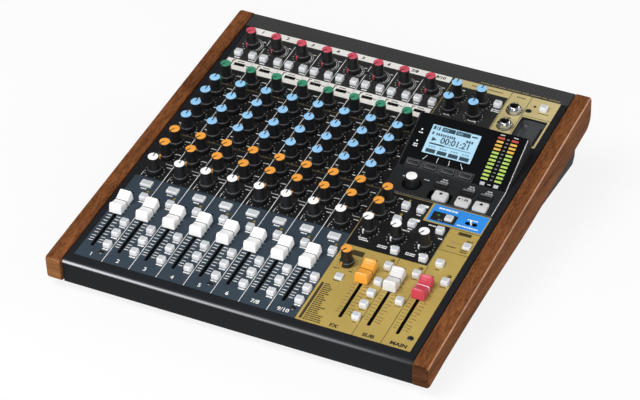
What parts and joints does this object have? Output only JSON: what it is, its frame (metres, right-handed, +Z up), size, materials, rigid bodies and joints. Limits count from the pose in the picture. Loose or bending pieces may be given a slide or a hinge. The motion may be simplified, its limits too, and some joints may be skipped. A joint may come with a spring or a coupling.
{
  "type": "recording mixer",
  "caption": "Small sloping recording mixer with wooden sides, rows of knobs, faders, a raised display with level meters, and sockets on its rear panel.",
  "frame": {"origin": "middle of the outline at the underside of the feet", "axes": "+X to the right of the person using it, +Y towards the rear sockets, +Z up; the deck slopes up towards +Y"},
  "size_m": [0.343, 0.3702, 0.0987],
  "materials": {
    "painted_deck": "satin dark blue-grey paint with printed legends",
    "black_steel": "black powder coat",
    "walnut_wood": "oiled walnut, warm mid brown",
    "housing_plastic": "fine matt moulding",
    "smoked_lens": "glossy smoked window",
    "lcd_glass": "backlit pale blue display",
    "meter_lamp": "lit light bars: green, orange above, red on top",
    "status_lamp": "small amber, red and green lamps, unlit",
    "circuit_board": "green solder mask",
    "component_plastic": "moulded component bodies",
    "plated_steel": "plated",
    "jack_plastic": "black sockets, the nuts chromed",
    "foot_rubber": "black rubber",
    "knob_plastic": "dark soft plastic with a coloured top",
    "encoder_plastic": "off-white top on a black skirt",
    "button_plastic": "pale grey, translucent",
    "black_key_plastic": "black",
    "grey_key_plastic": "light grey",
    "lever_plastic": "white",
    "cap_white": "white with a black line",
    "cap_orange": "orange with a black line",
    "cap_red": "red with a white line"
  },
  "bodies": {
    "console": {"deck_panel": "painted_deck", "chassis_pan": "black_steel", "rear_panel": "black_steel", "left_wood_side": "walnut_wood", "right_wood_side": "walnut_wood", "display_housing": "housing_plastic", "display_lens": "smoked_lens", "lcd_module": "lcd_glass", "meter_leds": "meter_lamp", "status_leds": "status_lamp", "circuit_boards": "circuit_board", "knob_pots": "component_plastic", "fader_bodies": "plated_steel", "key_switches": "component_plastic", "jacks": "jack_plastic", "xlr_sockets": "jack_plastic", "data_sockets": "plated_steel", "card_recess": "housing_plastic", "feet": "foot_rubber", "deck_screws": "black_steel", "strip_knobs": "knob_plastic"},
    "fader_1": {"fader_1": "cap_white"},
    "fader_2": {"fader_2": "cap_white"},
    "fader_3": {"fader_3": "cap_white"},
    "fader_4": {"fader_4": "cap_white"},
    "fader_5": {"fader_5": "cap_white"},
    "fader_6": {"fader_6": "cap_white"},
    "fader_7_8": {"fader_7_8": "cap_white"},
    "fader_9_10": {"fader_9_10": "cap_white"},
    "fader_fx": {"fader_fx": "cap_orange"},
    "fader_sub": {"fader_sub": "cap_white"},
    "fader_main": {"fader_main": "cap_red"},
    "encoder_knob": {"encoder_knob": "encoder_plastic"},
    "ch1_gain_knob": {"ch1_gain_knob": "knob_plastic"},
    "monitor_knob": {"monitor_knob": "knob_plastic"},
    "phones_1_knob": {"phones_1_knob": "knob_plastic"},
    "fx_knob": {"fx_knob": "knob_plastic"},
    "ch1_pan_knob": {"ch1_pan_knob": "knob_plastic"},
    "transport_keys": {"transport_keys": "grey_key_plastic"},
    "mute_buttons": {"mute_buttons": "button_plastic"},
    "assign_buttons": {"assign_buttons": "button_plastic"},
    "input_buttons": {"input_buttons": "button_plastic"},
    "rec_buttons": {"rec_buttons": "button_plastic"},
    "menu_keys": {"menu_keys": "black_key_plastic"},
    "master_buttons": {"master_buttons": "button_plastic"},
    "function_keys": {"function_keys": "black_key_plastic"},
    "mode_switches": {"mode_switches": "lever_plastic"},
    "link_switch": {"link_switch": "lever_plastic"},
    "power_switch": {"power_switch": "black_key_plastic"},
    "ch1_comp_knob": {"ch1_comp_knob": "knob_plastic"},
    "ch1_eq_high_knob": {"ch1_eq_high_knob": "knob_plastic"},
    "ch1_eq_mid_freq_knob": {"ch1_eq_mid_freq_knob": "knob_plastic"},
    "ch1_eq_mid_knob": {"ch1_eq_mid_knob": "knob_plastic"},
    "ch1_eq_low_knob": {"ch1_eq_low_knob": "knob_plastic"},
    "ch1_aux_1_knob": {"ch1_aux_1_knob": "knob_plastic"},
    "ch1_aux_2_knob": {"ch1_aux_2_knob": "knob_plastic"},
    "main_aux_1_knob": {"main_aux_1_knob": "knob_plastic"},
    "main_aux_2_knob": {"main_aux_2_knob": "knob_plastic"},
    "phones_2_knob": {"phones_2_knob": "knob_plastic"}
  },
  "joints": [
    {"name": "fader_1_slide", "type": "slide", "parent": "console", "child": "fader_1", "axis": [0, 0.9877, 0.1564], "range_m": [-0.0465, 0.0135]},
    {"name": "fader_2_slide", "type": "slide", "parent": "console", "child": "fader_2", "axis": [0, 0.9877, 0.1564], "range_m": [-0.0465, 0.0135]},
    {"name": "fader_3_slide", "type": "slide", "parent": "console", "child": "fader_3", "axis": [0, 0.9877, 0.1564], "range_m": [-0.0465, 0.0135]},
    {"name": "fader_4_slide", "type": "slide", "parent": "console", "child": "fader_4", "axis": [0, 0.9877, 0.1564], "range_m": [-0.0465, 0.0135]},
    {"name": "fader_5_slide", "type": "slide", "parent": "console", "child": "fader_5", "axis": [0, 0.9877, 0.1564], "range_m": [-0.0465, 0.0135]},
    {"name": "fader_6_slide", "type": "slide", "parent": "console", "child": "fader_6", "axis": [0, 0.9877, 0.1564], "range_m": [-0.0465, 0.0135]},
    {"name": "fader_7_8_slide", "type": "slide", "parent": "console", "child": "fader_7_8", "axis": [0, 0.9877, 0.1564], "range_m": [-0.0465, 0.0135]},
    {"name": "fader_9_10_slide", "type": "slide", "parent": "console", "child": "fader_9_10", "axis": [0, 0.9877, 0.1564], "range_m": [-0.0465, 0.0135]},
    {"name": "fader_fx_slide", "type": "slide", "parent": "console", "child": "fader_fx", "axis": [0, 0.9877, 0.1564], "range_m": [-0.0465, 0.0135]},
    {"name": "fader_sub_slide", "type": "slide", "parent": "console", "child": "fader_sub", "axis": [0, 0.9877, 0.1564], "range_m": [-0.0465, 0.0135]},
    {"name": "fader_main_slide", "type": "slide", "parent": "console", "child": "fader_main", "axis": [0, 0.9877, 0.1564], "range_m": [-0.0465, 0.0135]},
    {"name": "encoder_turn", "type": "hinge", "parent": "console", "child": "encoder_knob", "pos_m": [0.0718, 0.01346, 0.06102], "axis": [0, -0.1564, 0.9877], "continuous": true},
    {"name": "ch1_gain_knob_turn", "type": "hinge", "parent": "console", "child": "ch1_gain_knob", "pos_m": [-0.1378, 0.13613, 0.08045], "axis": [0, -0.1564, 0.9877], "range_deg": [-300, 0]},
    {"name": "monitor_knob_turn", "type": "hinge", "parent": "console", "child": "monitor_knob", "pos_m": [0.1122, -0.054, 0.05034], "axis": [0, -0.1564, 0.9877], "range_deg": [-300, 0]},
    {"name": "phones_1_knob_turn", "type": "hinge", "parent": "console", "child": "phones_1_knob", "pos_m": [0.0622, -0.054, 0.05034], "axis": [0, -0.1564, 0.9877], "range_deg": [-300, 0]},
    {"name": "fx_knob_turn", "type": "hinge", "parent": "console", "child": "fx_knob", "pos_m": [0.0622, -0.09746, 0.04345], "axis": [0, -0.1564, 0.9877], "range_deg": [-300, 0]},
    {"name": "ch1_pan_knob_turn", "type": "hinge", "parent": "console", "child": "ch1_pan_knob", "pos_m": [-0.1378, -0.054, 0.05034], "axis": [0, -0.1564, 0.9877], "range_deg": [-150, 150]},
    {"name": "transport_keys_press", "type": "slide", "parent": "console", "child": "transport_keys", "axis": [0, 0.1564, -0.9877], "range_m": [0, 0.0008], "stiffness_N_per_m": 800},
    {"name": "mute_buttons_press", "type": "slide", "parent": "console", "child": "mute_buttons", "axis": [0, 0.1564, -0.9877], "range_m": [0, 0.0008], "stiffness_N_per_m": 800},
    {"name": "assign_buttons_press", "type": "slide", "parent": "console", "child": "assign_buttons", "axis": [0, 0.1564, -0.9877], "range_m": [0, 0.0008], "stiffness_N_per_m": 800},
    {"name": "input_buttons_press", "type": "slide", "parent": "console", "child": "input_buttons", "axis": [0, 0.1564, -0.9877], "range_m": [0, 0.0008], "stiffness_N_per_m": 800},
    {"name": "rec_buttons_press", "type": "slide", "parent": "console", "child": "rec_buttons", "axis": [0, 0.1564, -0.9877], "range_m": [0, 0.0008], "stiffness_N_per_m": 800},
    {"name": "menu_keys_press", "type": "slide", "parent": "console", "child": "menu_keys", "axis": [0, 0.1564, -0.9877], "range_m": [0, 0.0008], "stiffness_N_per_m": 800},
    {"name": "master_buttons_press", "type": "slide", "parent": "console", "child": "master_buttons", "axis": [0, 0.1564, -0.9877], "range_m": [0, 0.0008], "stiffness_N_per_m": 800},
    {"name": "function_keys_press", "type": "slide", "parent": "console", "child": "function_keys", "axis": [0, 0.4756, -0.8796], "range_m": [0, 0.0008], "stiffness_N_per_m": 800},
    {"name": "mode_switches_slide", "type": "slide", "parent": "console", "child": "mode_switches", "axis": [1, 0, 0], "range_m": [0, 0.004]},
    {"name": "link_switch_slide", "type": "slide", "parent": "console", "child": "link_switch", "axis": [1, 0, 0], "range_m": [-0.0032, 0.0032]},
    {"name": "power_switch_press", "type": "slide", "parent": "console", "child": "power_switch", "axis": [0, -1, 0], "range_m": [0, 0.002], "stiffness_N_per_m": 300},
    {"name": "ch1_comp_knob_turn", "type": "hinge", "parent": "console", "child": "ch1_comp_knob", "pos_m": [-0.1378, 0.08428, 0.07224], "axis": [0, -0.1564, 0.9877], "range_deg": [-300, 0]},
    {"name": "ch1_eq_high_knob_turn", "type": "hinge", "parent": "console", "child": "ch1_eq_high_knob", "pos_m": [-0.1378, 0.06294, 0.06886], "axis": [0, -0.1564, 0.9877], "range_deg": [-150, 150]},
    {"name": "ch1_eq_mid_freq_knob_turn", "type": "hinge", "parent": "console", "child": "ch1_eq_mid_freq_knob", "pos_m": [-0.1378, 0.04447, 0.06593], "axis": [0, -0.1564, 0.9877], "range_deg": [-150, 150]},
    {"name": "ch1_eq_mid_knob_turn", "type": "hinge", "parent": "console", "child": "ch1_eq_mid_knob", "pos_m": [-0.1378, 0.026, 0.06301], "axis": [0, -0.1564, 0.9877], "range_deg": [-150, 150]},
    {"name": "ch1_eq_low_knob_turn", "type": "hinge", "parent": "console", "child": "ch1_eq_low_knob", "pos_m": [-0.1378, 0.00753, 0.06008], "axis": [0, -0.1564, 0.9877], "range_deg": [-150, 150]},
    {"name": "ch1_aux_1_knob_turn", "type": "hinge", "parent": "console", "child": "ch1_aux_1_knob", "pos_m": [-0.1378, -0.0141, 0.05666], "axis": [0, -0.1564, 0.9877], "range_deg": [-300, 0]},
    {"name": "ch1_aux_2_knob_turn", "type": "hinge", "parent": "console", "child": "ch1_aux_2_knob", "pos_m": [-0.1378, -0.03267, 0.05371], "axis": [0, -0.1564, 0.9877], "range_deg": [-300, 0]},
    {"name": "main_aux_1_knob_turn", "type": "hinge", "parent": "console", "child": "main_aux_1_knob", "pos_m": [0.0622, -0.0141, 0.05666], "axis": [0, -0.1564, 0.9877], "range_deg": [-300, 0]},
    {"name": "main_aux_2_knob_turn", "type": "hinge", "parent": "console", "child": "main_aux_2_knob", "pos_m": [0.0622, -0.03267, 0.05371], "axis": [0, -0.1564, 0.9877], "range_deg": [-300, 0]},
    {"name": "phones_2_knob_turn", "type": "hinge", "parent": "console", "child": "phones_2_knob", "pos_m": [0.0872, -0.054, 0.05034], "axis": [0, -0.1564, 0.9877], "range_deg": [-300, 0]}
  ]
}
